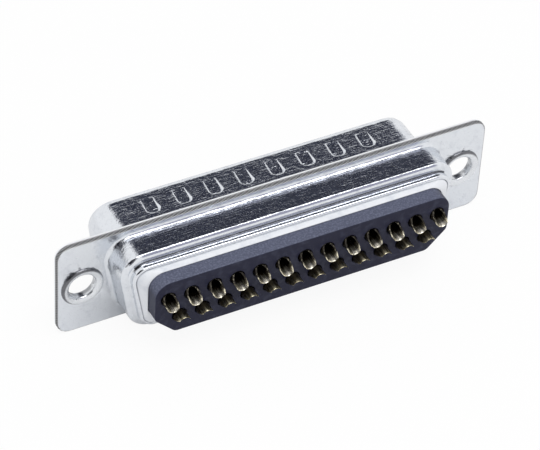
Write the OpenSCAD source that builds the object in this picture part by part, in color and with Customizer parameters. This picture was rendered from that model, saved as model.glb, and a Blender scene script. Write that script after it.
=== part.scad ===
// D-sub plug, 25-way, solder cups. X runs along the length, +Y is the mating side, +Z is up.
// The origin is at the middle of the flange, on its front (mating) face.

/* [Contacts] */
// Number of contacts in the upper row, one more than in the lower row
upper_count = 13; // [5:1:19]
// Distance between contacts in a row
contact_pitch = 2.76; // [2.7:0.01:2.8]
// Distance between the two rows
row_spacing = 2.84; // [2.7:0.01:2.9]
// Diameter of a pin
pin_d = 1; // [0.9:0.02:1.04]
// How far the pins end inside the rim of the plug shell
pin_recess = 0.5; // [0.3:0.1:1.5]
// Diameter of a contact's retaining shoulder
shoulder_d = 1.9; // [1.7:0.05:2]
// Length of a contact's retaining shoulder
shoulder_len = 0.8; // [0.6:0.05:1]
// Diameter of a solder cup outside
cup_d = 1.58; // [1.5:0.02:1.62]
// Diameter of a solder cup's bore
cup_bore = 1.24; // [1.1:0.02:1.3]
// Depth of a solder cup's bore
cup_bore_len = 3.6; // [3.1:0.1:4]
// How far past the axis the scoop is cut at a cup's end
scoop_drop = 0.4; // [0.2:0.05:0.5]
// Slope of the scoop along a cup, in degrees
scoop_slope = 32; // [28:1:40]
// How far the cups stand behind the rear block
cup_reach = 1.42; // [0.8:0.02:2]
// Gap round a pin, a shoulder or a cup's barrel in its bore
contact_gap = 0.04; // [0.02:0.01:0.08]

/* [Plug shell] */
// Thickness of the sheet of both shells
sheet_t = 0.4; // [0.3:0.02:0.5]
// Room from the last contacts of the upper row to the inside of the plug shell
end_room = 2.92; // [2.7:0.02:3.2]
// Room from each row of contacts to the inside of the plug shell
row_room = 2.76; // [2.6:0.02:2.9]
// Inside corner radius of the plug shell
plug_r = 2.6; // [1.6:0.1:3]
// Slope of the short sides of every D shape, in degrees
d_slope = 10; // [6:1:14]
// How far the plug shell stands in front of the flange
plug_depth = 6.1; // [5:0.1:7]
// Radius of the bend from the flange to the plug shell
plug_bend = 0.5; // [0.2:0.05:0.7]
// How far the rim of the plug shell is turned in
lip_in = 0.22; // [0:0.02:0.28]
// Length of the turned-in rim
lip_len = 0.7; // [0.3:0.1:1]

/* [Dimples] */
// Distance between the dimples along each long side
dimple_pitch = 3.83; // [2.6:0.01:3.9]
// Room kept free of dimples at each end of the plug shell
dimple_room = 6; // [4:0.5:7]
// Width of a dimple
dimple_w = 1.9; // [1.4:0.05:2.1]
// Corner radius of a dimple at its deep end
dimple_r = 0.65; // [0.3:0.05:0.7]
// Distance from the flange to the deep end of a dimple
dimple_start = 2.25; // [1.2:0.05:2.6]
// Length over which a dimple fades out
dimple_len = 2.6; // [1.4:0.1:2.7]
// Depth of a dimple at its deep end
dimple_depth = 0.3; // [0.1:0.02:0.34]

/* [Rear boss] */
// How much further out than the plug shell's inside the boss lies at each end
boss_side = 1.02; // [0.9:0.02:1.2]
// How much further out than the plug shell's inside the boss lies at the top and bottom
boss_rise = 1.17; // [1:0.02:1.3]
// Outside corner radius of the rear boss
boss_r = 2.8; // [2:0.1:3]
// How far the boss stands behind the flange
boss_depth = 3.65; // [3.3:0.05:5]
// Radius of the bend from the flange to the boss
boss_bend = 0.5; // [0.2:0.05:0.5]
// Radius of the boss's rear edge
boss_edge = 0.56; // [0.4:0.02:0.6]
// How far inside the boss the step's opening lies at each end
neck_side = 1.3; // [1.2:0.02:1.4]
// How far inside the boss the step's opening lies at the top and bottom
neck_rise = 1.26; // [1.2:0.02:1.3]
// Inside corner radius of the step's opening
neck_r = 1.7; // [1.3:0.1:2]
// How far the step stands behind the boss
neck_depth = 0.93; // [0.7:0.01:1.3]
// Radius of the bend from the boss to the step
neck_bend = 0.35; // [0.15:0.05:0.4]
// Radius of the step's rear edge
neck_edge = 0.34; // [0.2:0.02:0.36]

/* [Flange] */
// Distance from the boss to the axis of a mounting hole
hole_side = 3.02; // [3.02:0.02:3.6]
// Distance from the axis of a mounting hole to the end of the flange
hole_margin = 3; // [2.8:0.1:5]
// How far the flange stands out above and below the boss
flange_rim = 0.9; // [0.8:0.05:2]
// Radius of the flange corners
flange_r = 1.7; // [0.6:0.1:3]

/* [Eyelets] */
// Bore of an eyelet, the mounting hole
eyelet_bore = 3.2; // [3:0.05:3.3]
// Length of the straight part of that bore
eyelet_land = 0.56; // [0.5:0.02:0.6]
// Wall of an eyelet's barrel
eyelet_wall = 0.22; // [0.18:0.02:0.26]
// Diameter over an eyelet's head
eyelet_head_d = 5; // [4.6:0.1:5]
// Height of an eyelet's rear head
eyelet_head_h = 0.26; // [0.2:0.02:0.34]
// Height of an eyelet's rolled front end
eyelet_roll_h = 0.2; // [0.14:0.02:0.3]
// Gap round an eyelet's barrel in the shells
eyelet_gap = 0.04; // [0.02:0.01:0.08]

/* [Insulators] */
// How far inside the step's opening the rear block lies at each end
block_side = 1.1; // [0.9:0.05:1.4]
// How far inside the step's opening the rear block lies at the top and bottom
block_rise = 0.32; // [0.3:0.02:0.4]
// Corner radius at the top of the rear block
block_r = 1.8; // [1:0.1:2.2]
// Size of the chamfers at the bottom of the rear block
block_chamfer = 2.45; // [1.6:0.05:2.5]
// Rounding at the ends of those chamfers
block_chamfer_r = 0.8; // [0.3:0.1:1]
// How far the rear block stands behind the step's rear edge
block_reach = 2.42; // [1.4:0.02:3.4]
// How far the pale collar stands behind the step's rear edge
collar_reach = 0.7; // [0.3:0.05:1.2]
// Wall of the collar where it ends on the block
collar_lip = 0.1; // [0.06:0.02:0.14]
// Thickness of the collar's flange inside the boss
collar_flange_t = 0.85; // [0.6:0.05:1]
// Thickness of the rear insulator's flange inside the boss
block_flange_t = 1; // [0.8:0.05:1.2]
// How far the front insulator stands in front of the flange
front_reach = 0.6; // [0.3:0.05:1.2]
// Gap round the insulators in the shells and in each other
mould_gap = 0.03; // [0.02:0.01:0.05]
// Diameter of the wells that the cups stand in
well_d = 1.76; // [1.68:0.02:1.84]
// Depth of the wells
well_depth = 2; // [1:0.1:2.2]

/* [Hidden] */
// Facets of the true round parts, and of a bend seen from the side
$fn = 48;
BEND_STEPS = 4;
// Points on one corner of a D ring, an even number
CORNER_POINTS = 10;
// Overlap that makes a cut or a joint clean
EPS = 0.1;
// Share of a bend's radius that its foot keeps inside the sheet
FOOT = 0.9;

plug_w = (upper_count - 1) * contact_pitch + 2 * end_room;
plug_h = row_spacing + 2 * row_room;
boss_w = plug_w + 2 * boss_side;
boss_h = plug_h + 2 * boss_rise;
neck_w = boss_w - 2 * neck_side;
neck_h = boss_h - 2 * neck_rise;
block_w = neck_w - 2 * block_side;
block_h = neck_h - 2 * block_rise;
hole_spacing = boss_w + 2 * hole_side;
flange_w = hole_spacing + 2 * hole_margin;
flange_h = boss_h + 2 * flange_rim;
dimple_count = floor((plug_w - 2 * dimple_room) / dimple_pitch) + 1;

// Places along Y, from the flange back to the cups
flange_back = -2 * sheet_t;
boss_back = flange_back - boss_depth;
neck_back = boss_back - neck_depth;
collar_back = neck_back - collar_reach;
block_back = neck_back - block_reach;
cup_back = block_back - cup_reach;
pin_front = plug_depth - pin_recess;
boss_floor = boss_back + sheet_t;
collar_front = boss_floor + collar_flange_t;
block_front = collar_front + block_flange_t;
shoulder_back = block_front - shoulder_len / 2;
shoulder_front = shoulder_back + shoulder_len;
lower_count = upper_count - 1;
contact_count = upper_count + lower_count;
half_turn = 180;

function two_digits(i) = str(i < 10 ? "0" : "", i);
function contact_name(i) = str("contact_", two_digits(i));

// A D shape is given as [width, height, corner radius], and grown or shrunk all round by "by"
function d_grow(d, by) = [d[0] + 2 * by, d[1] + 2 * by, d[2] + by];
function d_top_x(d) = d[0] / 2 - d[2];
function d_bottom_x(d) = d_top_x(d) - (d[1] - 2 * d[2]) * tan(d_slope);
function arc(x, z, r, a0, a1, count) =
    [for (i = [0:count - 1])
        let (a = a0 + (a1 - a0) * i / (count - 1))
        [x + r * cos(a), z + r * sin(a)]];
function d_ring(d) = let (z = d[1] / 2 - d[2]) concat(
    arc(d_bottom_x(d), -z, d[2], -90, -d_slope, CORNER_POINTS),
    arc(d_top_x(d), z, d[2], -d_slope, 90, CORNER_POINTS),
    arc(-d_top_x(d), z, d[2], 90, 180 + d_slope, CORNER_POINTS),
    arc(-d_bottom_x(d), -z, d[2], 180 + d_slope, 270, CORNER_POINTS));

plug_inside = [plug_w, plug_h, plug_r];
plug_outside = d_grow(plug_inside, sheet_t);
boss_outside = [boss_w, boss_h, boss_r];
boss_inside = d_grow(boss_outside, -sheet_t);
neck_inside = [neck_w, neck_h, neck_r];
neck_outside = d_grow(neck_inside, sheet_t);

// The rear block's outline: round corners at the top, chamfers with round ends at the bottom
chamfer_tangent = block_chamfer_r * tan(22.5);
function block_arcs(by) = let (
        w = block_w / 2 + by,
        h = block_h / 2 + by,
        r = block_r + by,
        q = block_chamfer_r + by,
        side = block_chamfer + chamfer_tangent + by)
    [[w - r, h - r, r],
     [w - q, -h + side, q],
     [w - side, -h + q, q]];
function block_ring(by) = let (
        arcs = block_arcs(by),
        half = CORNER_POINTS / 2,
        top = arcs[0],
        upper = arcs[1],
        lower = arcs[2])
    concat(
        arc(lower[0], lower[1], lower[2], -90, -45, half),
        arc(upper[0], upper[1], upper[2], -45, 0, half),
        arc(top[0], top[1], top[2], 0, 90, CORNER_POINTS),
        arc(-top[0], top[1], top[2], 90, 180, CORNER_POINTS),
        arc(-upper[0], upper[1], upper[2], 180, 225, half),
        arc(-lower[0], lower[1], lower[2], 225, 270, half));

// Angles of the stations of a bend
function bend_angles() = [for (i = [0:BEND_STEPS]) 90 * i / BEND_STEPS];

// Stands an outline up: what is drawn in X and Y lies in X and Z and runs from y0 back to y1
module along_y(y0, y1) {
    translate([0, y0, 0])
        rotate([90, 0, 0])
            linear_extrude(y0 - y1)
                children();
}

// Skins a stack of rings, each given as [place along Y, points], from front to back
module skin(stack) {
    count = len(stack[0][1]);
    last = len(stack) - 1;
    points = [for (ring = stack) for (p = ring[1]) [p[0], ring[0], p[1]]];
    sides = [for (s = [0:last - 1])
        for (i = [0:count - 1])
            let (j = (i + 1) % count)
            [s * count + j, s * count + i, (s + 1) * count + i, (s + 1) * count + j]];
    front = [for (i = [0:count - 1]) i];
    back = [for (i = [0:count - 1]) (last + 1) * count - 1 - i];
    polyhedron(points, concat([front], sides, [back]));
}

module flange_face() {
    x = flange_w / 2 - flange_r;
    z = flange_h / 2 - flange_r;
    square([flange_w, 2 * z], center = true);
    square([2 * x, flange_h], center = true);
    for (side = [-1, 1])
        for (level = [-1, 1])
            translate([side * x, level * z])
                circle(flange_r);
}

module eyelet_holes() {
    for (side = [-1, 1])
        translate([side * hole_spacing / 2, EPS, 0])
            rotate([90, 0, 0])
                cylinder(h = 2 * sheet_t + 2 * EPS, d = eyelet_bore + 2 * eyelet_wall + 2 * eyelet_gap);
}

function dimple_x(i) = (i - (dimple_count - 1) / 2) * dimple_pitch;

// Outline of a dimple, grown by "extra": two round corners at the deep end, open to the rim
function dimple_ring(extra) = let (
        r = dimple_r + extra,
        x = dimple_w / 2 - dimple_r)
    concat(
        arc(-x, dimple_r, r, 180, 270, CORNER_POINTS / 2),
        arc(x, dimple_r, r, 270, 360, CORNER_POINTS / 2),
        [[x + r, dimple_len], [-x - r, dimple_len]]);

// A wedge under a long side: its floor rises to the sheet's surface towards the rim
module dimple_wedge(surface_z, extra) {
    tilt = atan(dimple_depth / dimple_len);
    for (i = [0:dimple_count - 1])
        translate([dimple_x(i), dimple_start, surface_z - dimple_depth])
            rotate([tilt, 0, 0])
                linear_extrude(2 * sheet_t)
                    polygon(dimple_ring(extra));
}

module dimple_cuts() {
    dimple_wedge(plug_h / 2 + sheet_t, 0);
    mirror([0, 0, 1])
        dimple_wedge(plug_h / 2 + sheet_t, 0);
}

// What the dimples push into the inside of the shell, one sheet under the cuts
module dimple_bumps() {
    bump_side = sheet_t / 2;
    intersection() {
        union() {
            dimple_wedge(plug_h / 2, bump_side);
            mirror([0, 0, 1])
                dimple_wedge(plug_h / 2, bump_side);
        }
        along_y(dimple_start + dimple_len, dimple_start - sheet_t)
            polygon(d_ring(d_grow(plug_inside, sheet_t / 2)));
    }
}

function plug_stack() = concat(
    [[-sheet_t / 2, d_ring(d_grow(plug_outside, plug_bend * FOOT))]],
    [for (a = bend_angles())
        if (a > 0)
            [plug_bend * (1 - cos(a)), d_ring(d_grow(plug_outside, plug_bend * (1 - sin(a))))]],
    [for (a = bend_angles())
        [plug_depth - lip_len * (1 - sin(a)), d_ring(d_grow(plug_outside, -lip_in * (1 - cos(a))))]]);

module front_shell() {
    color("#c9ccd1")
        difference() {
            union() {
                difference() {
                    union() {
                        along_y(0, -sheet_t)
                            flange_face();
                        skin([for (i = [len(plug_stack()) - 1:-1:0]) plug_stack()[i]]);
                    }
                    along_y(plug_depth + EPS, -sheet_t - EPS)
                        polygon(d_ring(plug_inside));
                }
                dimple_bumps();
            }
            dimple_cuts();
            eyelet_holes();
        }
}

function boss_stack() = concat(
    [[flange_back + sheet_t / 2, d_ring(d_grow(boss_outside, boss_bend * FOOT))]],
    [for (a = bend_angles())
        if (a > 0)
            [flange_back - boss_bend * (1 - cos(a)),
             d_ring(d_grow(boss_outside, boss_bend * (1 - sin(a))))]],
    [for (a = bend_angles())
        [boss_back + boss_edge * (1 - sin(a)), d_ring(d_grow(boss_outside, -boss_edge * (1 - cos(a))))]]);

function neck_stack() = concat(
    [[boss_back + sheet_t / 2, d_ring(d_grow(neck_outside, neck_bend * FOOT))]],
    [for (a = bend_angles())
        if (a > 0)
            [boss_back - neck_bend * (1 - cos(a)),
             d_ring(d_grow(neck_outside, neck_bend * (1 - sin(a))))]],
    [for (a = bend_angles())
        [neck_back + neck_edge * (1 - sin(a)), d_ring(d_grow(neck_outside, -neck_edge * (1 - cos(a))))]]);

module rear_shell() {
    color("#c4c8ce")
        difference() {
            union() {
                along_y(-sheet_t, flange_back)
                    flange_face();
                skin(boss_stack());
                skin(neck_stack());
            }
            along_y(-sheet_t + EPS, boss_floor)
                polygon(d_ring(boss_inside));
            along_y(boss_floor + EPS, neck_back - EPS)
                polygon(d_ring(neck_inside));
            eyelet_holes();
        }
}

// A quarter of an ellipse about [x, z], from the angle a0 to a1
function flare(x, z, rx, rz, a0, a1) =
    [for (i = [0:BEND_STEPS])
        let (a = a0 + (a1 - a0) * i / BEND_STEPS)
        [x + rx * cos(a), z + rz * sin(a)]];

// The bore is straight at the middle of the flange and flares into the rolled ends
module eyelet(side) {
    inner = eyelet_bore / 2;
    outer = inner + eyelet_wall;
    head = eyelet_head_d / 2;
    seat = 2 * sheet_t;
    land_front = sheet_t - eyelet_land / 2;
    land_back = sheet_t + eyelet_land / 2;
    front_h = eyelet_roll_h + land_front;
    rear_h = seat + eyelet_head_h - land_back;
    crest = head - eyelet_head_h;
    color("#d3d6da")
        translate([side * hole_spacing / 2, 0, 0])
            rotate([90, 0, 0])
                rotate_extrude()
                    polygon(concat(
                        flare(inner + front_h, land_front, front_h, front_h, 180, 270),
                        flare(head - eyelet_roll_h, 0, eyelet_roll_h, eyelet_roll_h, 270, 360),
                        [[outer, 0], [outer, seat]],
                        flare(crest, seat, eyelet_head_h, eyelet_head_h, 0, 90),
                        flare(crest, land_back, crest - inner, rear_h, 90, 180)));
}

module left_eyelet() {
    eyelet(-1);
}

module right_eyelet() {
    eyelet(1);
}

function contact_upper(i) = i <= upper_count;
function contact_x(i) = contact_upper(i)
    ? (i - 1 - (upper_count - 1) / 2) * contact_pitch
    : (i - upper_count - 1 - (lower_count - 1) / 2) * contact_pitch;
function contact_z(i) = contact_upper(i) ? row_spacing / 2 : -row_spacing / 2;

// Cuts one round hole for every contact, from y0 back to y1
module contact_bores(d, y0, y1) {
    for (i = [1:contact_count])
        translate([contact_x(i), y0, contact_z(i)])
            rotate([90, 0, 0])
                cylinder(h = y0 - y1, d = d);
}

module front_insulator() {
    color("#26282c")
        difference() {
            union() {
                along_y(-sheet_t, block_front)
                    polygon(d_ring(d_grow(boss_inside, -mould_gap)));
                along_y(front_reach, -sheet_t)
                    polygon(d_ring(d_grow(plug_inside, -mould_gap)));
            }
            contact_bores(pin_d + 2 * contact_gap, front_reach + EPS, block_front - EPS);
            contact_bores(shoulder_d + 2 * contact_gap, shoulder_front, block_front - EPS);
        }
}

module rear_insulator() {
    color("#2b2d33")
        difference() {
            union() {
                along_y(block_front, collar_front)
                    polygon(d_ring(d_grow(boss_inside, -mould_gap)));
                along_y(collar_front, block_back)
                    polygon(block_ring(0));
            }
            contact_bores(shoulder_d + 2 * contact_gap, block_front + EPS, shoulder_back);
            contact_bores(cup_d + 2 * contact_gap, block_front + EPS, block_back - EPS);
            contact_bores(well_d, block_back + well_depth, block_back - EPS);
        }
}

module insulator_collar() {
    neck_fit = d_grow(neck_inside, -mould_gap);
    color("#e9ebef")
        difference() {
            union() {
                along_y(collar_front, boss_floor)
                    polygon(d_ring(d_grow(boss_inside, -mould_gap)));
                skin([
                    [boss_floor + sheet_t / 2, d_ring(neck_fit)],
                    [neck_back, d_ring(neck_fit)],
                    [collar_back, block_ring(mould_gap + collar_lip)]]);
            }
            along_y(collar_front + EPS, collar_back - EPS)
                polygon(block_ring(mould_gap));
        }
}

// A contact drawn about its own axis, with the scoop of its cup open towards +Z
module contact_body() {
    cut = 4 * cup_d;
    difference() {
        union() {
            translate([0, pin_front - pin_d / 2, 0])
                sphere(d = pin_d);
            translate([0, pin_front - pin_d / 2, 0])
                rotate([90, 0, 0])
                    cylinder(h = pin_front - pin_d / 2 - shoulder_front + EPS, d = pin_d);
            translate([0, shoulder_front, 0])
                rotate([90, 0, 0])
                    cylinder(h = shoulder_len, d = shoulder_d);
            translate([0, shoulder_back + EPS, 0])
                rotate([90, 0, 0])
                    cylinder(h = shoulder_back + EPS - cup_back, d = cup_d);
        }
        translate([0, cup_back + cup_bore_len, 0])
            rotate([90, 0, 0])
                cylinder(h = cup_bore_len + EPS, d = cup_bore);
        translate([0, cup_back, -scoop_drop])
            rotate([scoop_slope, 0, 0])
                translate([-cut / 2, -cut / 2, 0])
                    cube(cut);
    }
}

module contact(i) {
    color("#d8c58a")
        translate([contact_x(i), 0, contact_z(i)])
            rotate([0, contact_upper(i) ? 0 : half_turn, 0])
                contact_body();
}

front_shell();
rear_shell();
left_eyelet();
right_eyelet();
front_insulator();
rear_insulator();
insulator_collar();
for (i = [1:contact_count])
    contact(i);
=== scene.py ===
import math

import bmesh
import bpy
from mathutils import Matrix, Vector


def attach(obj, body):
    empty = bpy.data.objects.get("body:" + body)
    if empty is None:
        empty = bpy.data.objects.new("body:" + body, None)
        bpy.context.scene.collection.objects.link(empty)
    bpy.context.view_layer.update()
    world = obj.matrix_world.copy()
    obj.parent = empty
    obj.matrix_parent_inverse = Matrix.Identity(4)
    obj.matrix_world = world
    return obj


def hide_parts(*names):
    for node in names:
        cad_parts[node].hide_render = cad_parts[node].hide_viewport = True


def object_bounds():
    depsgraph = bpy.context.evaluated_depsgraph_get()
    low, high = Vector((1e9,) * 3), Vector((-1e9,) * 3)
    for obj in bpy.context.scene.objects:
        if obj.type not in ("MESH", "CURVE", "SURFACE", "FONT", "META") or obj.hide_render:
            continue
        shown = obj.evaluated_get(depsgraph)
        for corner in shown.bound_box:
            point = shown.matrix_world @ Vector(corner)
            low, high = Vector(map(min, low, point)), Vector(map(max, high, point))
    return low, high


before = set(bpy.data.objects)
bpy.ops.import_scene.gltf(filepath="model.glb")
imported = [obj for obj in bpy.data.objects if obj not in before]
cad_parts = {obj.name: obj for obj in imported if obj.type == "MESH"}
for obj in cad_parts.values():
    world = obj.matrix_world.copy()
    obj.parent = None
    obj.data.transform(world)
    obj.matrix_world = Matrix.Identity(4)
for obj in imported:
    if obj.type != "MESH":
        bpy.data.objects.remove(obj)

CAD_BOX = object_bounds()

# Front shell
# The mating half of the case: one piece of steel sheet, drawn into a D-shaped plug round the pins,
# then bright plated. Grounding dimples are pressed along both long sides, and the rim is turned in.
# Like every new piece here it is modelled in millimetres, then set in metres.
SHEET = 0.4
FLANGE = (53.04, 12.5)
FLANGE_CORNER = 1.7
HOLE_SPACING = 47.04
EYELET_HOLE = 1.86
SIDE_SLOPE = math.radians(10)
PLUG_INSIDE = (38.96, 8.36, 2.6)
PLUG_DEPTH = 6.1
PLUG_BEND = 0.5
# the rim turns in by steps of (inwards, along)
LIP = ((0.015, 0.1), (0.03, 0.1), (0.035, 0.1), (0.035, 0.1), (0.04, 0.13), (0.03, 0.1),
       (0.035, 0.07))
LIP_LONG = sum(along for _, along in LIP)
BEND_STEPS = 7
CORNER_STEPS = 14
FLANGE_CORNER_STEPS = 10
# the die rolls the flange's outline over, by (inset, share of the sheet's thickness)
EDGE_ROLL = ((0.14, 0.0), (0.08, 0.04), (0.035, 0.12), (0.01, 0.24), (0.0, 0.4), (0.0, 0.88),
             (0.02, 0.97), (0.06, 1.0))
FRONT = 1
REAR = -1
# how close, in millimetres, places have to be to count as near, as level and as one
NEAR = 0.01
SAME_LEVEL = 0.001
MERGED = 0.0005


def start(name, primitive, **settings):
    """Adds one primitive, the only thing selected, at its place, and names it."""
    if bpy.context.object and bpy.context.object.mode == "EDIT":
        bpy.ops.object.mode_set(mode="OBJECT")
    bpy.ops.object.select_all(action="DESELECT")
    primitive(**settings)
    bpy.ops.object.transform_apply(location=True, rotation=True, scale=True)
    piece = bpy.context.object
    piece.name = name
    piece.data.name = name
    return piece


def hold(*pieces):
    """Selects these pieces and nothing else; the first is the active one."""
    bpy.ops.object.select_all(action="DESELECT")
    for piece in pieces:
        piece.select_set(True)
    bpy.context.view_layer.objects.active = pieces[0]


def edit(piece):
    hold(piece)
    bpy.ops.object.mode_set(mode="EDIT")


def leave_edit():
    bpy.ops.object.mode_set(mode="OBJECT")


def middle(item):
    if isinstance(item, bmesh.types.BMVert):
        return item.co.copy()
    return sum((v.co for v in item.verts), Vector()) / len(item.verts)


def pick(kind, wanted):
    """In edit mode, selects the verts, edges or faces that are wanted, and nothing else."""
    mesh = bpy.context.edit_object.data
    form = bmesh.from_edit_mesh(mesh)
    bpy.context.tool_settings.mesh_select_mode = (kind == "verts", kind == "edges", kind == "faces")
    for group in (form.verts, form.edges, form.faces):
        for item in group:
            item.select = False
    for item in getattr(form, kind):
        if wanted(middle(item), item):
            item.select_set(True)
    form.select_flush_mode()
    bmesh.update_edit_mesh(mesh)


def upright_sheet(name, width, height, y, facing):
    """A flat rectangle standing across the connector at y, facing its front or its rear."""
    sheet = start(name, bpy.ops.mesh.primitive_plane_add, size=1.0, location=(0, y, 0),
                  rotation=(-facing * math.pi / 2, 0, 0))
    sheet.scale = (width, 1.0, height)
    bpy.ops.object.transform_apply(location=True, rotation=True, scale=True)
    return sheet


def round_corners(wanted, tangent, segments):
    pick("verts", wanted)
    bpy.ops.mesh.bevel(affect="VERTICES", offset_type="OFFSET", offset=tangent, segments=segments,
                       profile=0.5, clamp_overlap=False)


def grown(outline, by):
    width, height, radius = outline
    return (width + 2 * by, height + 2 * by, radius + by)


def d_sheet(name, outline, y, facing):
    """A D-shaped sheet: wide at the top, its short sides leaning in towards the bottom."""
    width, height, radius = outline
    top_tangent = radius * (1 + math.sin(SIDE_SLOPE)) / math.cos(SIDE_SLOPE)
    low_tangent = radius * math.cos(SIDE_SLOPE) / (1 + math.sin(SIDE_SLOPE))
    sheet = upright_sheet(name, width + 2 * (top_tangent - radius), height, y, facing)
    edit(sheet)
    for side in (-1, 1):
        pick("verts", lambda place, _: place.x * side > 0 and place.z < 0)
        bpy.ops.transform.translate(value=(-side * height * math.tan(SIDE_SLOPE), 0, 0))
    round_corners(lambda place, _: place.z > height / 2 - NEAR, top_tangent, CORNER_STEPS)
    round_corners(lambda place, _: place.z < -height / 2 + NEAR, low_tangent, CORNER_STEPS)
    pick("faces", lambda place, _: True)
    return sheet


def into_wall(radius):
    """Steps, inwards and along, of a bend that leaves a flat and turns up into a wall."""
    turns = [math.pi / 2 * i / BEND_STEPS for i in range(BEND_STEPS + 1)]
    return [(radius * (math.sin(b) - math.sin(a)), radius * (math.cos(a) - math.cos(b)))
            for a, b in zip(turns, turns[1:])]


def over_edge(inward, along, steps=BEND_STEPS):
    """Steps, inwards and along, of a rounded edge that leaves a wall and turns in over it."""
    turns = [math.pi / 2 * i / steps for i in range(steps + 1)]
    return [(inward * (math.cos(a) - math.cos(b)), along * (math.sin(b) - math.sin(a)))
            for a, b in zip(turns, turns[1:])]


def draw_tube(sheet, facing, steps):
    """Draws the selected sheet out ring by ring, and opens both its ends."""
    for inward, along in steps:
        if inward > 0:
            bpy.ops.mesh.inset(thickness=inward, depth=along, use_even_offset=True)
        else:
            bpy.ops.mesh.extrude_region_move(
                TRANSFORM_OT_translate={"value": (0, facing * along, 0)})
    pick("faces", lambda _, face: len(face.verts) > 4)
    bpy.ops.mesh.delete(type="FACE")
    leave_edit()
    return sheet


def join_into(piece, *others):
    hold(piece, *others)
    bpy.ops.object.join()
    return piece


def is_open(edge):
    return len(edge.link_faces) < 2


def fill_level(piece, y):
    """Fills the flat face at y between its open edges; those inside others are holes in it."""
    edit(piece)
    pick("edges", lambda place, edge: is_open(edge) and abs(place.y - y) < SAME_LEVEL)
    bpy.ops.mesh.fill(use_beauty=True)
    leave_edit()


def circle_at(name, x, y, z, radius, segments=64):
    return start(name, bpy.ops.mesh.primitive_circle_add, vertices=segments, radius=radius,
                 fill_type="NOTHING", location=(x, y, z), rotation=(math.pi / 2, 0, 0))


def add_flange(shell, outer_y, inner_y):
    """Adds the flat flange: its sheared edge, rolled over by the die, its holes and both faces."""
    into_sheet = inner_y - outer_y
    drawn_in = EDGE_ROLL[0][0]
    plate = upright_sheet("flange_outline", FLANGE[0] - 2 * drawn_in, FLANGE[1] - 2 * drawn_in,
                          outer_y, FRONT)
    edit(plate)
    round_corners(lambda place, _: True, FLANGE_CORNER - drawn_in, FLANGE_CORNER_STEPS)
    pick("faces", lambda place, _: True)
    bpy.ops.mesh.delete(type="ONLY_FACE")
    bpy.ops.mesh.select_all(action="SELECT")
    for (inset0, share0), (inset1, share1) in zip(EDGE_ROLL, EDGE_ROLL[1:]):
        bpy.ops.mesh.extrude_edges_move(
            TRANSFORM_OT_translate={"value": (0, into_sheet * (share1 - share0), 0)})
        bpy.ops.transform.resize(value=((FLANGE[0] - 2 * inset1) / (FLANGE[0] - 2 * inset0), 1,
                                        (FLANGE[1] - 2 * inset1) / (FLANGE[1] - 2 * inset0)),
                                 center_override=(0, 0, 0))
    leave_edit()
    for side in (-1, 1):
        hole = circle_at("eyelet_hole", side * HOLE_SPACING / 2, outer_y, 0, EYELET_HOLE)
        edit(hole)
        bpy.ops.mesh.select_all(action="SELECT")
        bpy.ops.mesh.extrude_edges_move(TRANSFORM_OT_translate={"value": (0, into_sheet, 0)})
        leave_edit()
        join_into(plate, hole)
    join_into(shell, plate)
    fill_level(shell, outer_y)
    fill_level(shell, inner_y)


def modifier(piece, kind, **settings):
    """Adds one modifier, sets it and applies it."""
    hold(piece)
    step = piece.modifiers.new(kind.lower(), kind)
    for setting, value in settings.items():
        setattr(step, setting, value)
    bpy.ops.object.modifier_apply(modifier=step.name)


def face_outwards(piece):
    edit(piece)
    bpy.ops.mesh.select_all(action="SELECT")
    bpy.ops.mesh.remove_doubles(threshold=MERGED)
    bpy.ops.mesh.normals_make_consistent(inside=False)
    leave_edit()


def ease_edges(piece, width, above=50):
    """Takes the sharpness off every edge that turns by more than a number of degrees."""
    modifier(piece, "BEVEL", width=width, segments=2, limit_method="ANGLE",
             angle_limit=math.radians(above))


def set_in_metres(piece, smooth=35):
    """Shrinks a finished piece from millimetres to metres and smooths its shading."""
    hold(piece)
    piece.scale = (0.001, 0.001, 0.001)
    bpy.ops.object.transform_apply(location=True, rotation=True, scale=True)
    bpy.ops.object.shade_smooth_by_angle(angle=math.radians(smooth))
    modifier(piece, "WEIGHTED_NORMAL", keep_sharp=True, weight=60)


def take_over(piece, node):
    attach(piece, "root")
    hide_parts(node)


front_shell = draw_tube(
    d_sheet("front_shell_drawn", grown(PLUG_INSIDE, SHEET + PLUG_BEND), 0.0, FRONT), FRONT,
    [*into_wall(PLUG_BEND), (0, PLUG_DEPTH - PLUG_BEND - LIP_LONG), *LIP])
front_inside = draw_tube(d_sheet("front_inside", PLUG_INSIDE, -SHEET, FRONT), FRONT,
                         [(0, SHEET + PLUG_DEPTH)])
join_into(front_shell, front_inside)
fill_level(front_shell, PLUG_DEPTH)
add_flange(front_shell, 0.0, -SHEET)

# The dimples: each is a tongue let into the long side ring by ring, its floor tilted so that it
# is deepest near the flange and fades out towards the rim. Inside the shell it stands out.
DIMPLE = (2.12, 2.8)
DIMPLE_CORNER = 0.9
DIMPLE_START = 2.1
DIMPLE_DEPTH = 0.3
DIMPLE_PITCH = 3.83
DIMPLE_COUNT = 8
DIMPLE_CORNER_STEPS = 8
NEAR_MIDDLE = 0.5
LONG_SIDE_AREA = 50
# steps of (inwards, share of the floor's tilt); the first lies flat round the tongue
DIMPLE_RINGS = ((0.08, 0.0), (0.06, 0.05), (0.08, 0.13), (0.06, 0.17), (0.03, 0.19), (0.03, 0.2),
                (0.03, 0.16), (0.03, 0.1))
DIMPLE_EDGE = sum(ring[0] for ring in DIMPLE_RINGS)


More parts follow.
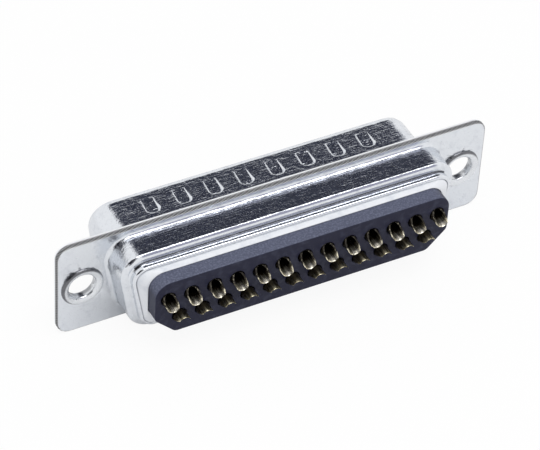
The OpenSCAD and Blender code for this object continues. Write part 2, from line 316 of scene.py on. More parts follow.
def press_dimples(shell, side, height, grow):
    """Swaps the flat of one long side, at a height, for one with its row of dimples."""
    level = side * height
    width, length = DIMPLE[0] + 2 * grow, DIMPLE[1] + grow
    end = DIMPLE_START - grow + length
    tilt = math.atan2(DIMPLE_DEPTH, length - 2 * DIMPLE_EDGE)
    dimple = start("dimple", bpy.ops.mesh.primitive_plane_add, size=1.0,
                   location=(0, end - length / 2, 0))
    dimple.scale = (width, 1.0, 1.0)
    bpy.ops.object.transform_apply(location=True, rotation=True, scale=True)
    edit(dimple)
    pick("verts", lambda place, _: place.y < end - length / 2)
    bpy.ops.transform.translate(value=(0, -(length - 1.0) / 2, 0))
    pick("verts", lambda place, _: place.y > end - length / 2)
    bpy.ops.transform.translate(value=(0, (length - 1.0) / 2, 0))
    round_corners(lambda place, _: place.y < end - length / 2, DIMPLE_CORNER + grow,
                  DIMPLE_CORNER_STEPS)
    pick("faces", lambda place, _: True)
    for inward, share in DIMPLE_RINGS:
        bpy.ops.mesh.inset(thickness=inward, depth=0.0, use_even_offset=True)
        bpy.ops.transform.rotate(value=-share * tilt, orient_axis="X",
                                 center_override=(0, end - DIMPLE_EDGE, 0))
    leave_edit()
    hold(dimple)
    dimple.location = (-(DIMPLE_COUNT - 1) / 2 * DIMPLE_PITCH, 0, level)
    dimple.rotation_euler = (0, 0 if side > 0 else math.pi, 0)
    bpy.ops.object.transform_apply(location=True, rotation=True, scale=True)
    row = [dimple]
    for i in range(1, DIMPLE_COUNT):
        hold(dimple)
        bpy.ops.object.duplicate()
        copy = bpy.context.object
        copy.location = (i * DIMPLE_PITCH, 0, 0)
        bpy.ops.object.transform_apply(location=True, rotation=True, scale=True)
        row.append(copy)
    edit(shell)
    pick("faces", lambda place, face: abs(place.z - level) < SAME_LEVEL
         and abs(place.x) < NEAR_MIDDLE and len(face.verts) == 4
         and face.calc_area() > LONG_SIDE_AREA)
    bpy.ops.mesh.delete(type="ONLY_FACE")
    leave_edit()
    join_into(shell, *row)
    edit(shell)
    pick("edges", lambda place, edge: is_open(edge)
         and all(abs(v.co.z - level) < SAME_LEVEL for v in edge.verts))
    bpy.ops.mesh.fill(use_beauty=True)
    leave_edit()


SHEET_EASED = 0.05
for side in (-1, 1):
    press_dimples(front_shell, side, PLUG_INSIDE[1] / 2 + SHEET, 0.0)
    press_dimples(front_shell, side, PLUG_INSIDE[1] / 2, SHEET / 2)
face_outwards(front_shell)
ease_edges(front_shell, SHEET_EASED)
set_in_metres(front_shell)
take_over(front_shell, "front_shell")


class Wire:
    """A socket that takes part in arithmetic: each operator adds its Math node."""

    def __init__(self, tree, socket):
        self.tree = tree
        self.socket = socket

    def math(self, operation, *others):
        return add_node(self.tree, "ShaderNodeMath", {"operation": operation},
                        dict(enumerate((self, *others))))

    def __add__(self, other):
        return self.math("ADD", other)

    __radd__ = __add__

    def __mul__(self, other):
        return self.math("MULTIPLY", other)

    __rmul__ = __mul__

    def __sub__(self, other):
        return self.math("SUBTRACT", other)

    def __rsub__(self, other):
        return add_node(self.tree, "ShaderNodeMath", {"operation": "SUBTRACT"}, {0: other, 1: self})

    def between(self, low, high):
        """0 below low, 1 above high, smooth between."""
        return add_node(self.tree, "ShaderNodeMapRange", {"interpolation_type": "SMOOTHSTEP"},
                        {"Value": self, "From Min": low, "From Max": high}, "Result")


def add_node(tree, kind, settings=None, inputs=None, output=0):
    """Adds one node: its settings first, then the values or links of its sockets."""
    node = tree.nodes.new(kind)
    for name, value in (settings or {}).items():
        setattr(node, name, value)
    for name, value in (inputs or {}).items():
        if isinstance(value, Wire):
            tree.links.new(value.socket, node.inputs[name])
        else:
            node.inputs[name].default_value = value
    return Wire(tree, node.outputs[output])


def blend(share, first, second):
    """Mixes two colours by a share from 0 to 1."""
    pair = [colour if isinstance(colour, Wire) else (*colour, 1.0) for colour in (first, second)]
    return add_node(share.tree, "ShaderNodeMix", {"data_type": "RGBA"},
                    {0: share, 6: pair[0], 7: pair[1]}, 2)


def place_in_mm(tree, squeeze=(1, 1, 1)):
    """The place on the piece in millimetres, squeezed along an axis to draw a pattern out."""
    place = add_node(tree, "ShaderNodeTexCoord", output="Object")
    return add_node(tree, "ShaderNodeVectorMath", {"operation": "MULTIPLY"},
                    {0: place, 1: tuple(1000.0 * s for s in squeeze)}, "Vector")


def axis_of(place, axis):
    return add_node(place.tree, "ShaderNodeSeparateXYZ", None, {0: place}, axis)


def noise(place, size, detail=2.0, distortion=0.0):
    """Cloudy noise from 0 to 1 whose blots are about a size in millimetres."""
    return add_node(place.tree, "ShaderNodeTexNoise", None,
                    {"Vector": place, "Scale": 1.0 / size, "Detail": detail,
                     "Distortion": distortion}, "Fac")


def new_finish(name, metallic, roughness):
    finish = bpy.data.materials.new(name)
    finish.use_nodes = True
    shader = finish.node_tree.nodes["Principled BSDF"]
    shader.inputs["Metallic"].default_value = metallic
    shader.inputs["Roughness"].default_value = roughness
    return finish, finish.node_tree, shader


def feed(tree, shader, **sockets):
    for name, wire in sockets.items():
        tree.links.new(wire.socket, shader.inputs[name.replace("_", " ")])


def bump(height, depth_mm):
    return add_node(height.tree, "ShaderNodeBump", None,
                    {"Strength": 1.0, "Distance": depth_mm / 1000.0, "Height": height}, "Normal")


NOT_BURNISHED = -20.0
BURNISH_FADE = 0.3
BURNISH_LEAVES = 0.12


def plated_sheet(name, colour, tarnish, depth_mm, burnished_behind=NOT_BURNISHED):
    """Bright plating over drawn steel: cloudy, with fine pits and streaks along the drawing.

    Behind the burnished line, in millimetres along Y, the die has rubbed it smoother.
    """
    finish, tree, shader = new_finish(name, 1.0, 0.2)
    place = place_in_mm(tree)
    cloud = noise(place, 1.1, 4.0, 0.5)
    pits = noise(place, 0.16, 2.0)
    streaks = noise(place_in_mm(tree, (0.1, 1.0, 1.0)), 0.2, 3.0)
    specks = pits.between(0.57, 0.68)
    left_rough = BURNISH_LEAVES + (1 - BURNISH_LEAVES) * axis_of(place, 1).between(
        burnished_behind - BURNISH_FADE, burnished_behind)
    feed(tree, shader,
         Base_Color=blend(cloud.between(0.5, 0.75) * 0.3 + specks * 0.3, colour, tarnish),
         Roughness=0.1 + cloud * 0.08 + specks * 0.14,
         Normal=bump((cloud * 0.7 + pits * 0.14 + streaks * 0.4) * left_rough, depth_mm))
    return finish


TICK_PITCH = 0.26
TICK_SLANT = 0.8
HATCH_FADE = 0.05
SHEARED = (0.93, 0.94, 0.97)
TORN = (0.0, 0.0, 0.0)


def sheared_edge(name, hatched_from, hatched_to):
    """The cut side of the sheet: bright where it was sheared, torn in slanted ticks further in."""
    finish, tree, shader = new_finish(name, 0.35, 0.5)
    place = place_in_mm(tree)
    x, y, z = (axis_of(place, axis) for axis in range(3))
    ticks = ((x + z + y * TICK_SLANT) * (2 * math.pi / TICK_PITCH)).math("SINE")
    hatched = y.between(hatched_from - HATCH_FADE, hatched_from + HATCH_FADE) - y.between(
        hatched_to - HATCH_FADE, hatched_to + HATCH_FADE)
    torn = (hatched * ticks.between(-1.0, -0.6)).math("MAXIMUM", 0.0)
    feed(tree, shader, Base_Color=blend(torn, SHEARED, TORN), Roughness=0.45 + torn * 0.3)
    return finish


def give(piece, *finishes):
    piece.data.materials.clear()
    for finish in finishes:
        piece.data.materials.append(finish)


def give_faces(piece, slot, wanted):
    """Gives the faces that are wanted the finish of a slot."""
    edit(piece)
    pick("faces", wanted)
    piece.active_material_index = slot
    bpy.ops.object.material_slot_assign()
    leave_edit()


OUTLINE_WIDE = 0.12
LEAST_TURNED = 0.98


def at_outline(place, face):
    """True for the narrow faces round the flange's outline, for a piece in metres."""
    past_x = max(abs(1000 * place.x) - FLANGE[0] / 2 + FLANGE_CORNER, 0)
    past_z = max(abs(1000 * place.z) - FLANGE[1] / 2 + FLANGE_CORNER, 0)
    return (math.hypot(past_x, past_z) > FLANGE_CORNER - OUTLINE_WIDE
            and abs(face.normal.y) < LEAST_TURNED and abs(1000 * place.y + SHEET) < SHEET)


PLATING = (0.76, 0.785, 0.825)
TARNISH = (0.45, 0.47, 0.53)
give(front_shell, plated_sheet("bright_plating", PLATING, TARNISH, 0.1),
     sheared_edge("front_sheared_edge", -SHEET, -0.3))
give_faces(front_shell, 1, at_outline)

# Front insulator
# The black moulded block in the plug, which keeps the pins in line. Glass-filled plastic; its
# flange is held between the front shell's flange and the rear block.
UPPER_ROW = 13
LOWER_ROW = 12
PITCH = 2.76
ROW_HEIGHT = 1.42
PLUG_BLOCK = (38.9, 8.3, 2.57)
FLANGE_BLOCK = (40.14, 9.84, 2.37)
FRONT_FACE = 0.6
BLOCKS_MEET = -2.2
PIN_BORE = 0.54
SHOULDER_BORE = 0.99
SHOULDER_FRONT = -1.8
PIN_MOUTH = 0.12
EASED = 0.12
SEATS = ([(i * PITCH - (UPPER_ROW - 1) / 2 * PITCH, ROW_HEIGHT) for i in range(UPPER_ROW)]
         + [(i * PITCH - (LOWER_ROW - 1) / 2 * PITCH, -ROW_HEIGHT) for i in range(LOWER_ROW)])


def turned(name, profile, segments=48):
    """A round form about the Y axis, drawn from ring to ring of a profile of (radius, y)."""
    form = circle_at(name, 0, profile[0][1], 0, profile[0][0], segments)
    edit(form)
    bpy.ops.mesh.select_all(action="SELECT")
    for (near, y0), (far, y1) in zip(profile, profile[1:]):
        bpy.ops.mesh.extrude_edges_move(TRANSFORM_OT_translate={"value": (0, y1 - y0, 0)})
        bpy.ops.transform.resize(value=(far / near, 1, far / near), center_override=(0, 0, 0))
    leave_edit()
    return form


def copy_to(piece, x, z, half_turn=False):
    hold(piece)
    bpy.ops.object.duplicate()
    copy = bpy.context.object
    copy.rotation_euler = (0, math.pi if half_turn else 0, 0)
    copy.location = (x, 0, z)
    bpy.ops.object.transform_apply(location=True, rotation=True, scale=True)
    return copy


def bore_all(block, bore):
    """Joins a copy of one bore into a block at every contact's seat."""
    bores = [copy_to(bore, x, z) for x, z in SEATS]
    bpy.data.objects.remove(bore)
    join_into(block, *bores)


front_insulator = draw_tube(
    d_sheet("front_moulding", PLUG_BLOCK, -SHEET, FRONT), FRONT,
    [(0, SHEET + FRONT_FACE - EASED)] + over_edge(EASED, EASED, 3))
block_flange = draw_tube(d_sheet("front_moulding_flange", FLANGE_BLOCK, BLOCKS_MEET, FRONT), FRONT,
                         [(0, -SHEET - BLOCKS_MEET)])
join_into(front_insulator, block_flange)
fill_level(front_insulator, -SHEET)
bore_all(front_insulator, turned("pin_bore", [
    (PIN_BORE + PIN_MOUTH, FRONT_FACE), (PIN_BORE, FRONT_FACE - PIN_MOUTH),
    (PIN_BORE, SHOULDER_FRONT), (SHOULDER_BORE, SHOULDER_FRONT), (SHOULDER_BORE, BLOCKS_MEET)],
    segments=32))
fill_level(front_insulator, FRONT_FACE)
fill_level(front_insulator, BLOCKS_MEET)
face_outwards(front_insulator)
set_in_metres(front_insulator)
take_over(front_insulator, "front_insulator")


def black_plastic(name, colour, painted_light_tint, depth_mm):
    """Black glass-filled plastic with a fine grain, and painted light: a lighter blue-grey on faces
    turned up, and a little on those turned left.
    """
    finish, tree, shader = new_finish(name, 0.0, 0.4)
    shader.inputs["Specular IOR Level"].default_value = 0.2
    place = place_in_mm(tree)
    grain = noise(place, 0.2, 3.0)
    cloud = noise(place, 0.9, 3.0, 0.5)
    # painted light: faces that turn up, and those that lean left, take the lighter tint, as light
    # from above would show them
    facing = add_node(tree, "ShaderNodeNewGeometry", output="Normal")
    flat = (axis_of(facing, 2) - axis_of(facing, 0) * 0.45).between(0.25, 0.95)
    feed(tree, shader,
         Base_Color=blend(flat * (0.55 + grain.between(0.4, 0.7) * 0.45)
                          + (1 - flat) * cloud.between(0.45, 0.75) * 0.12, colour, painted_light_tint),
         Roughness=0.34 + grain * 0.2,
         Normal=bump(grain * 0.6 + cloud * 0.4, depth_mm))
    return finish


give(front_insulator, black_plastic("front_black_moulding", (0.012, 0.013, 0.018),
                                    (0.05, 0.054, 0.075), 0.02))

# Contacts
# Turned brass with a pale gold flash: a pin, a retaining shoulder and a barrel whose rear end is
# bored and cut on the slant, so that a stripped wire can be laid in the cup and soldered.
PIN = 0.5
PIN_FRONT = 5.6
SHOULDER = 0.95
SHOULDER_BACK = -2.6
BARREL = 0.79
CUP_BORE = 0.62
CUP_BACK = -9.22
BORE_DEPTH = 3.6
DRILL_POINT = (0.1, 0.3)
# how far the barrel's tip is rounded off, and how far the bore is flared, by the way in
TIP_ROUND = ((0.0, 0.9), (0.01, 0.4), (0.03, 0.1), (0.05, 0.0))
BELL_MOUTH = ((0.11, 0.0), (0.075, 0.15), (0.037, 0.34), (0.01, 0.54), (0.0, 0.75))
SCOOP_DROP = 0.4
SCOOP_SLOPE = math.radians(32)
SCOOP_EASED = 0.03
PIN_TIP = [math.radians(turn) for turn in (8, 22, 38, 54, 72, 90)]
contact = turned("contact", (
    [(PIN * math.sin(t), PIN_FRONT - PIN + PIN * math.cos(t)) for t in PIN_TIP]
    + [(PIN, SHOULDER_FRONT), (SHOULDER, SHOULDER_FRONT), (SHOULDER, SHOULDER_BACK),
       (BARREL, SHOULDER_BACK)]
    + [(BARREL - off, CUP_BACK + depth) for off, depth in TIP_ROUND]
    + [(CUP_BORE + flare, CUP_BACK + depth) for flare, depth in BELL_MOUTH]
    + [(CUP_BORE, CUP_BACK + BORE_DEPTH),
       (DRILL_POINT[0], CUP_BACK + BORE_DEPTH + DRILL_POINT[1])]))
edit(contact)
pick("edges", lambda place, edge: is_open(edge) and place.y > 0)
bpy.ops.mesh.edge_face_add()
pick("edges", lambda place, edge: is_open(edge) and place.y < 0)
bpy.ops.mesh.edge_face_add()
bpy.ops.mesh.select_all(action="SELECT")
bpy.ops.mesh.normals_make_consistent(inside=False)
bpy.ops.mesh.bisect(plane_co=(0, CUP_BACK, -SCOOP_DROP),
                    plane_no=(0, -math.sin(SCOOP_SLOPE), math.cos(SCOOP_SLOPE)),
                    use_fill=True, clear_outer=True, threshold=0.0001)
leave_edit()
face_outwards(contact)
ease_edges(contact, SCOOP_EASED, above=40)
contacts = [copy_to(contact, x, z, half_turn=z < 0) for x, z in SEATS]
bpy.data.objects.remove(contact)


SHADE_FADES_OVER = 0.8
# along Y, from the first to the second the painted shade and the wear give way to the clean gold of
# the pin
CLEAN_PIN = (-1.5, -0.5)


def gold_flash(name, colour, shade_and_wear_colour, roughness, unshaded_length):
    """Thin gold, bright at the cup's tip, with painted shade further in than an unshaded length,
    and darker drawing lines and cloudy tone.
    """
    finish, tree, shader = new_finish(name, 1.0, roughness)
    place = place_in_mm(tree)
    cloud = noise(place, 0.7, 3.0, 0.6)
    grain = noise(place, 0.12, 2.0)
    draw_lines = noise(place_in_mm(tree, (1.0, 0.06, 1.0)), 0.16, 2.0).between(0.35, 0.65)
    along = axis_of(place, 1)
    # painted shade: the gold darkens past the unshaded length from the tip, into the bore and
    # towards the well
    shaded_further_in = along.between(CUP_BACK + unshaded_length, CUP_BACK + unshaded_length + SHADE_FADES_OVER)
    shade_and_wear = (shaded_further_in * 0.85 + draw_lines * 0.6 + cloud.between(0.4, 0.68) * 0.1).math("MINIMUM", 1.0)
    feed(tree, shader,
         Base_Color=blend(shade_and_wear * (1 - along.between(*CLEAN_PIN)), colour, shade_and_wear_colour),
         Roughness=roughness - 0.06 + cloud * 0.12 + grain * 0.06,
         Normal=bump(cloud * 0.6 + grain * 0.3, 0.03))
    return finish


# each finish fades from its first colour at the cup's tip to a dark second colour, painted shade
# further along the cup
outer_flash = gold_flash("pale_gold_flash", (0.80, 0.74, 0.52), (0.17, 0.14, 0.08), 0.28, 0.12)
bored_flash = gold_flash("bored_gold_flash", (0.97, 0.92, 0.78), (0.05, 0.035, 0.015), 0.26, 0.8)
sawn_flash = gold_flash("sawn_brass", (0.85, 0.79, 0.6), (0.02, 0.018, 0.015), 0.35, 0.0)


BEHIND_WELLS = -5.0
CUP_MOUTH = CUP_BORE + 0.12
CUT_EDGE = CUP_BORE + 0.05
FACES_IN = -0.3
# how squarely a face lies in the slanted cut, on its eased edges and on the inner ones of those
IN_CUT = 0.985
ON_EASED = 0.88
ON_EASED_INSIDE = 0.4


def in_bore(x, z):
    """Picks the inside of the cup at a seat, for a piece in metres."""

    def bored(place, face):
        across, up = 1000 * place.x - x, 1000 * place.z - z
        return (1000 * place.y < BEHIND_WELLS and math.hypot(across, up) < CUP_MOUTH
                and across * face.normal.x + up * face.normal.z < FACES_IN)

    return bored


def on_scoop(x, z):
    """Picks the cut face of the scoop of the cup at a seat, and its eased edges higher up."""
    side = math.copysign(1.0, z)

    def cut(place, face):
        rise = side * (1000 * place.z - z)
        lean = (side * face.normal.z * math.cos(SCOOP_SLOPE)
                - face.normal.y * math.sin(SCOOP_SLOPE))
        inner = math.hypot(1000 * place.x - x, 1000 * place.z - z) < CUT_EDGE
        return 1000 * place.y < BEHIND_WELLS and (
            lean > IN_CUT
            or (rise > 0 and (lean > ON_EASED or (inner and lean > ON_EASED_INSIDE))))

    return cut


for number, piece in enumerate(contacts, 1):
    node = "contact_%02d" % number
    piece.name = piece.data.name = "solder_cup_" + node
    set_in_metres(piece)
    give(piece, outer_flash, bored_flash, sawn_flash)
    give_faces(piece, 1, in_bore(*SEATS[number - 1]))
    give_faces(piece, 2, on_scoop(*SEATS[number - 1]))
    take_over(piece, node)

# Rear insulator
# The black moulded block that the solder cups stand in. Its lower corners are cut off so that it
# goes in one way only, and each cup stands in a round well.
BLOCK = (36.2, 7.54)
BLOCK_CORNER = 1.8
BLOCK_CHAMFER = 2.45
CHAMFER_ROUND = 0.8 * math.tan(math.radians(22.5))
CHAMFER_STEPS = 6
BLOCK_BACK = -7.8
COLLAR_FRONT = -3.2
WELL = 0.88
WELL_FLOOR = -5.8
BARREL_BORE = 0.83
WELL_MOUTH = 0.06


def block_sheet(name, grow, y, facing):
    """A sheet with round upper corners and its lower corners cut at 45 degrees."""
    width, height = BLOCK[0] + 2 * grow, BLOCK[1] + 2 * grow
    chamfer = BLOCK_CHAMFER + grow * (2 - math.sqrt(2))
    sheet = upright_sheet(name, width, height, y, facing)
    edit(sheet)
    round_corners(lambda place, _: place.z > 0, BLOCK_CORNER + grow, CORNER_STEPS)
    round_corners(lambda place, _: place.z < -height / 2 + NEAR, chamfer, 1)
    round_corners(lambda place, _: place.z < -height / 2 + chamfer + NEAR, CHAMFER_ROUND,
                  CHAMFER_STEPS)
    pick("faces", lambda place, _: True)
    return sheet


rear_insulator = draw_tube(block_sheet("rear_moulding", 0.0, COLLAR_FRONT, REAR), REAR,
                           [(0, COLLAR_FRONT - BLOCK_BACK - EASED)] + over_edge(EASED, EASED, 4))
block_flange = draw_tube(d_sheet("rear_moulding_flange", FLANGE_BLOCK, BLOCKS_MEET, REAR), REAR,
                         [(0, BLOCKS_MEET - COLLAR_FRONT)])
join_into(rear_insulator, block_flange)
fill_level(rear_insulator, COLLAR_FRONT)
bore_all(rear_insulator, turned("well", [
    (WELL + WELL_MOUTH, BLOCK_BACK), (WELL, BLOCK_BACK + WELL_MOUTH), (WELL, WELL_FLOOR),
    (BARREL_BORE, WELL_FLOOR), (BARREL_BORE, SHOULDER_BACK), (SHOULDER_BORE, SHOULDER_BACK),
    (SHOULDER_BORE, BLOCKS_MEET)], segments=40))
fill_level(rear_insulator, BLOCK_BACK)
fill_level(rear_insulator, BLOCKS_MEET)
face_outwards(rear_insulator)
set_in_metres(rear_insulator)
take_over(rear_insulator, "rear_insulator")
give(rear_insulator, black_plastic("rear_black_moulding", (0.012, 0.013, 0.034),
                                   (0.145, 0.16, 0.23), 0.02))

# Collar
# The white moulded ring between the rear shell's rim and the black block. It tapers down to the
# block behind the rim, and its flange lies against the inside of the shell's step.
COLLAR_FLANGE = (40.14, 9.84, 2.37)
COLLAR_NECK = (38.34, 8.06, 1.5)
NECK_BACK = -5.38
COLLAR_BACK = -6.08
BOSS_FLOOR = -4.05
COLLAR_PLAY = 0.03
COLLAR_EASED = 0.05
COLLAR_WALL_AT_BACK = 0.13
collar = draw_tube(d_sheet("collar_neck", COLLAR_NECK, BOSS_FLOOR, REAR), REAR,
                   [(0, BOSS_FLOOR - NECK_BACK)])
collar_end = block_sheet("collar_end", COLLAR_WALL_AT_BACK, COLLAR_BACK, REAR)
bpy.ops.mesh.delete(type="ONLY_FACE")
leave_edit()
collar_inside = draw_tube(block_sheet("collar_inside", COLLAR_PLAY, COLLAR_FRONT, REAR), REAR,
                          [(0, COLLAR_FRONT - COLLAR_BACK)])
collar_flange = draw_tube(d_sheet("collar_flange", COLLAR_FLANGE, COLLAR_FRONT, REAR), REAR,
                          [(0, COLLAR_FRONT - BOSS_FLOOR)])
join_into(collar, collar_flange)
fill_level(collar, BOSS_FLOOR)
join_into(collar, collar_end)
edit(collar)
pick("edges", lambda place, edge: is_open(edge) and place.y < NECK_BACK + SAME_LEVEL)
bpy.ops.mesh.bridge_edge_loops()
leave_edit()
join_into(collar, collar_inside)
fill_level(collar, COLLAR_FRONT)
fill_level(collar, COLLAR_BACK)
face_outwards(collar)
ease_edges(collar, COLLAR_EASED, above=30)
set_in_metres(collar)
take_over(collar, "insulator_collar")
finish, tree, shader = new_finish("white_moulding", 0.0, 0.45)
place = place_in_mm(tree)
cloud = noise(place, 1.6, 3.0)
grain = noise(place, 0.14, 2.0)
feed(tree, shader,
     Base_Color=blend(cloud.between(0.45, 0.75), (0.80, 0.82, 0.86), (0.66, 0.69, 0.75)),
     Roughness=0.4 + grain * 0.15,
     Normal=bump(grain * 0.5 + cloud * 0.5, 0.015))
give(collar, finish)

# Rear shell
# The cable half of the case: the same sheet, drawn into a D-shaped boss with a lower step behind
# it that holds the collar, then plated. Its flange lies against the front shell's.
BOSS = (41.0, 10.7, 2.8)
BOSS_DEPTH = 3.65
BOSS_BEND = 0.5
BOSS_EDGE = 0.56
NECK_DEPTH = 0.93
NECK_FOOT_FLAT = 0.12
NECK_BEND = 0.22
NECK_EDGE = 0.3
NECK_INSET = 0.88
rear_shell = draw_tube(
    d_sheet("rear_shell_drawn", grown(BOSS, BOSS_BEND), -2 * SHEET, REAR), REAR,
    into_wall(BOSS_BEND) + [(0, BOSS_DEPTH - BOSS_BEND - BOSS_EDGE)]
    + over_edge(BOSS_EDGE, BOSS_EDGE) + [(NECK_FOOT_FLAT, 0)]
    + into_wall(NECK_BEND) + [(0, NECK_DEPTH - NECK_BEND - NECK_EDGE)]
    + over_edge(NECK_EDGE, NECK_EDGE))
rear_inside = draw_tube(
    d_sheet("rear_inside", grown(BOSS, -SHEET), -SHEET, REAR), REAR,
    [(0, BOSS_DEPTH), (NECK_INSET, 0), (0, NECK_DEPTH + SHEET)])
join_into(rear_shell, rear_inside)
fill_level(rear_shell, NECK_BACK)
add_flange(rear_shell, -2 * SHEET, -SHEET)
face_outwards(rear_shell)
ease_edges(rear_shell, SHEET_EASED)
set_in_metres(rear_shell)
take_over(rear_shell, "rear_shell")
# the third finish is dark plating: painted shade in the crease at the foot of the neck
give(rear_shell, plated_sheet("bright_plating_rear", PLATING, TARNISH, 0.085,
                              burnished_behind=-4.0),
     sheared_edge("rear_sheared_edge", -0.8, -SHEET),
     plated_sheet("painted_shade_foot_bend", (0.09, 0.095, 0.11), (0.4, 0.42, 0.46), 0.02))
give_faces(rear_shell, 1, at_outline)

BOSS_BACK = -2 * SHEET - BOSS_DEPTH
FOOT_BEND = (BOSS_BACK - NECK_BEND + NEAR, BOSS_BACK - 2 * SAME_LEVEL)
FOOT_LEAST_TURNED = 0.97
TOP_SIDE = 4.0


def in_foot_bend(place, face):
    """True for the bend at the foot of the neck, along the top, where shade is painted in."""
    return (FOOT_BEND[0] < 1000 * place.y < FOOT_BEND[1] and 1000 * place.z > TOP_SIDE
            and abs(face.normal.y) < FOOT_LEAST_TURNED)


give_faces(rear_shell, 2, in_foot_bend)

# Eyelets
# Tubular rivets of plated steel, one through each mounting hole: they clamp the two flanges
# together, their rear heads dished and their front ends rolled over.
EYELET_BORE = 1.6
EYELET_BARREL = 1.82
HEAD = 2.5
HEAD_EDGE = 0.26
HEAD_DISH = (0.64, 0.38)
ROLL_PROUD = 0.2
ROLL_INSIDE = 0.32
QUARTER_STEPS = 8
# the painted shade in the seam deepens from the first radius to the second, the painted shade in
# the throat along Y
SEAM = (2.18, 2.42)
THROAT = (-0.75, -0.3)
SHADE_SHIFT = 0.06


def quarter(x, y, wide, tall, from_deg):
    """Profile points of a quarter round about (x, y), from an angle on."""
    turns = [math.radians(from_deg + 90 * i / QUARTER_STEPS) for i in range(QUARTER_STEPS + 1)]
    return [(x + wide * math.cos(t), y - tall * math.sin(t)) for t in turns]


eyelet = turned("eyelet", (
    quarter(EYELET_BORE + ROLL_INSIDE, ROLL_PROUD - ROLL_INSIDE, ROLL_INSIDE, ROLL_INSIDE, 180)
    + quarter(HEAD - ROLL_PROUD, 0.0, ROLL_PROUD, ROLL_PROUD, 270)
    + [(EYELET_BARREL, 0.0), (EYELET_BARREL, -2 * SHEET)]
    + quarter(HEAD - HEAD_EDGE, -2 * SHEET, HEAD_EDGE, HEAD_EDGE, 0)
    + quarter(HEAD - HEAD_EDGE, HEAD_DISH[1] - 2 * SHEET - HEAD_EDGE, *HEAD_DISH, 90)
    + [(EYELET_BORE, ROLL_PROUD - ROLL_INSIDE)]), segments=72)
face_outwards(eyelet)
eyelets = [copy_to(eyelet, side * HOLE_SPACING / 2, 0) for side in (-1, 1)]
bpy.data.objects.remove(eyelet)

# bright plating, with painted shade in the seam round the head, heavier to the upper left, and
# further into the bore
eyelet_plating, tree, shader = new_finish("bright_plating_eyelet", 1.0, 0.25)
place = place_in_mm(tree)
across = axis_of(place, 0).math("ABSOLUTE") - HOLE_SPACING / 2
from_middle = (across * across + axis_of(place, 2) * axis_of(place, 2)).math("SQRT")
shade_side = (axis_of(place, 2) - axis_of(place, 0).math("SIGN") * across) * SHADE_SHIFT
cloud = noise(place, 0.7, 3.0, 0.5)
# painted shade: the head darkens towards its rim, more to the upper left, and the bore darkens
# further in
painted_seam_shade = (from_middle + shade_side).between(*SEAM)
painted_throat_shade = axis_of(place, 1).between(*THROAT) * cloud.between(0.35, 0.6)
feed(tree, shader,
     Base_Color=blend((painted_seam_shade * 0.85 + painted_throat_shade * 0.6 + cloud * 0.1).math("MINIMUM", 1.0),
                      (0.79, 0.81, 0.84), (0.09, 0.09, 0.10)),
     Roughness=0.2 + cloud * 0.15,
     Normal=bump(cloud, 0.05))
for name, piece in zip(("left_eyelet", "right_eyelet"), eyelets):
    piece.name = piece.data.name = name + "_rivet"
    set_in_metres(piece, smooth=50)
    give(piece, eyelet_plating)
    take_over(piece, name)

# Floor
# A plain white table top under the connector, painted matt. It glows only as the camera sees it,
# so that it is white all over and still holds the connector's shadow.
FLOOR_WIDE = 3.0
FLOOR_PAINT = (0.88, 0.88, 0.88, 1)
WHITENED = 0.92
MIRRORED = 0.1


def seen_directly(tree, mirrored=1.0):
    """1 for what the camera sees itself or through glass, a share for what metal mirrors."""
    in_metal = add_node(tree, "ShaderNodeLightPath", output="Is Glossy Ray") * mirrored
    through_glass = add_node(tree, "ShaderNodeLightPath", output="Is Transmission Ray")
    return add_node(tree, "ShaderNodeLightPath", output="Is Camera Ray").math(
        "MAXIMUM", in_metal).math("MAXIMUM", through_glass)


floor = start("floor", bpy.ops.mesh.primitive_plane_add, size=FLOOR_WIDE,
              location=(0, 0, CAD_BOX[0][2]))
finish, tree, shader = new_finish("floor_paint", 0.0, 0.9)
shader.inputs["Base Color"].default_value = FLOOR_PAINT
glow = add_node(tree, "ShaderNodeEmission", None, {"Color": (1, 1, 1, 1), "Strength": 1.0})
floor_mix = add_node(tree, "ShaderNodeMixShader", None,
                     {0: seen_directly(tree, MIRRORED) * WHITENED,
                      1: Wire(tree, shader.outputs[0]), 2: glow})
tree.links.new(floor_mix.socket, tree.nodes["Material Output"].inputs["Surface"])
give(floor, finish)

# Studio
# Cards hang round the connector, seen only as metal mirrors them: a dark one behind for the long
# flat tops, a dark one to the left and a grey one in front. Soft light comes from above, and from
# a pale room all round. The camera stands behind, to the left and above.
CARDS_AWAY = 0.42
CARD_FADE = (0.32, 0.62)
SOFTBOX = (0.5, 0.3)
SOFTBOX_WATTS = 1.5
SOFTBOX_AT = (0.04, -0.14, 0.56)
AMBIENT = 0.7
SENSOR = 36.0
LENS = 201.676
CAMERA_AT = (-0.122468, -0.216166, 0.227161)
CAMERA_TURN = (47.43668, -2.61443, -27.08678)


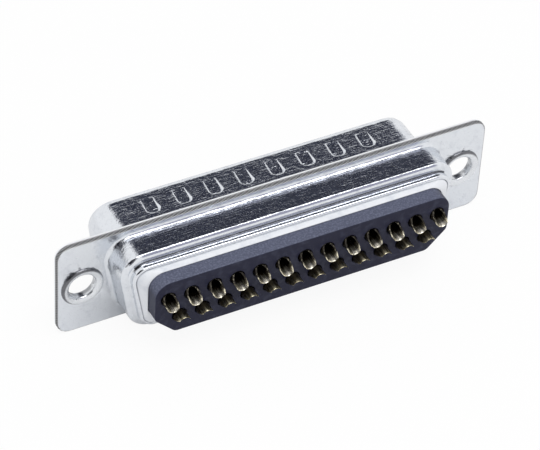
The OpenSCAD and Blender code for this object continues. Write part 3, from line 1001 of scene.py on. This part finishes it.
def hang_card(name, towards, width, height, middle_colour, rim_colour):
    """A card seen only in reflections, darkest in the middle and paler towards its edges."""
    card = start(name, bpy.ops.mesh.primitive_plane_add, size=1.0)
    card.scale = (width, height, 1)
    card.location = Vector(towards) * CARDS_AWAY
    card.rotation_euler = Vector(towards).to_track_quat("Z", "Y").to_euler()
    hold(card)
    bpy.ops.object.transform_apply(location=True, rotation=True, scale=True)
    finish, tree, shader = new_finish(name + "_paint", 0.0, 1.0)
    place = add_node(tree, "ShaderNodeTexCoord", output="Object")
    reach = add_node(tree, "ShaderNodeVectorMath", {"operation": "DISTANCE"},
                     {0: place, 1: tuple(Vector(towards) * CARDS_AWAY)}, "Value")
    fade = reach.between(*(share * width for share in CARD_FADE))
    feed(tree, shader, Base_Color=blend(fade, middle_colour, rim_colour))
    give(card, finish)
    card.visible_camera = False
    card.visible_diffuse = False
    card.visible_shadow = False


hang_card("back_card", (0.31, 0.54, 0.783), 0.32, 0.38,
          (0.03, 0.034, 0.055), (0.12, 0.13, 0.19))
hang_card("front_card", (0.363, -0.64, 0.68), 0.26, 0.2,
          (0.45, 0.45, 0.57), (0.9, 0.9, 0.95))
hang_card("left_card", (-0.61, -0.33, 0.69), 0.5, 0.42,
          (0.02, 0.02, 0.03), (0.12, 0.12, 0.15))

softbox_data = bpy.data.lights.new("softbox", "AREA")
softbox_data.shape = "RECTANGLE"
softbox_data.size, softbox_data.size_y = SOFTBOX
softbox_data.energy = SOFTBOX_WATTS
softbox = bpy.data.objects.new("softbox", softbox_data)
softbox.location = SOFTBOX_AT
softbox.rotation_euler = softbox.location.to_track_quat("Z", "Y").to_euler()
bpy.context.scene.collection.objects.link(softbox)

world = bpy.data.worlds.new("pale_room")
bpy.context.scene.world = world
world.use_nodes = True
tree = world.node_tree
room = tree.nodes["Background"]
room.inputs["Color"].default_value = (1, 1, 1, 1)
tree.links.new((AMBIENT + seen_directly(tree) * (1 - AMBIENT)).socket, room.inputs["Strength"])

camera_data = bpy.data.cameras.new("photo_camera")
camera_data.lens = LENS
camera_data.sensor_width = SENSOR
camera = bpy.data.objects.new("photo_camera", camera_data)
camera.location = CAMERA_AT
camera.rotation_euler = tuple(math.radians(turn) for turn in CAMERA_TURN)
bpy.context.scene.collection.objects.link(camera)
bpy.context.scene.camera = camera
bpy.context.scene.view_settings.view_transform = "Standard"
